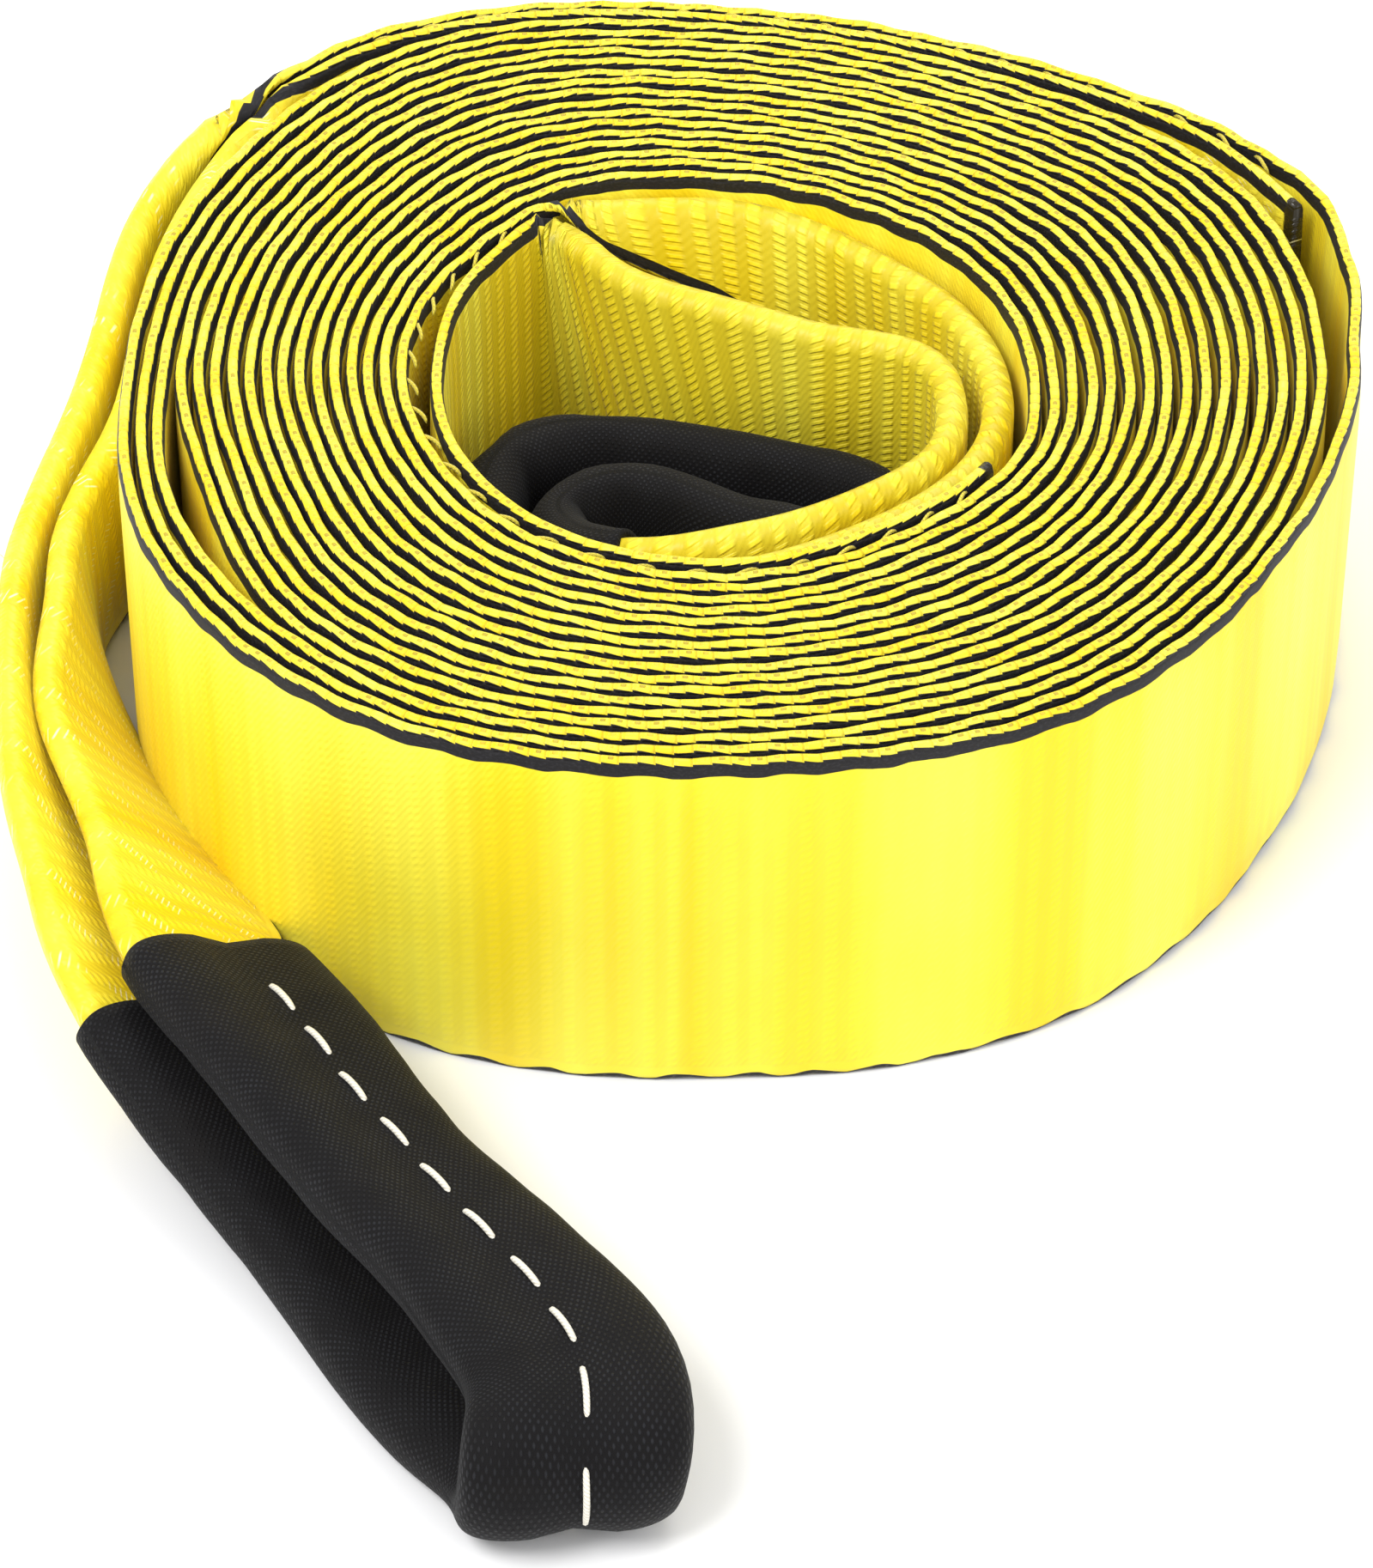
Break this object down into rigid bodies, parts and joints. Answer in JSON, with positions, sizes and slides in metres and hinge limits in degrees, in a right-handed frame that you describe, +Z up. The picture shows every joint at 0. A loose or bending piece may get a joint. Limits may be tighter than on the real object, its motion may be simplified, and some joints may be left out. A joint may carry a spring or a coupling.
{
  "type": "tow strap",
  "caption": "Two-inch yellow polyester webbing tow strap wound 17 turns into a flat coil, with a black-sleeved eye at each end: one lies beside the coil, one is tucked in its bore.",
  "frame": {"origin": "on the floor under the middle of the bounding box of the strap as it lies", "axes": "+Z up along the coil's own axis, which is the webbing's width; the outer eye points to -Y; +X to the right seen from the eye's end"},
  "size_m": [0.1732, 0.2406, 0.0509],
  "materials": {
    "webbing": "satin woven polyester with black edge stripes",
    "sleeve_cloth": "matt basket-woven nylon"
  },
  "bodies": {
    "root": {"webbing_strap": "webbing", "outer_eye_sleeve": "sleeve_cloth", "inner_eye_sleeve": "sleeve_cloth"}
  },
  "joints": []
}
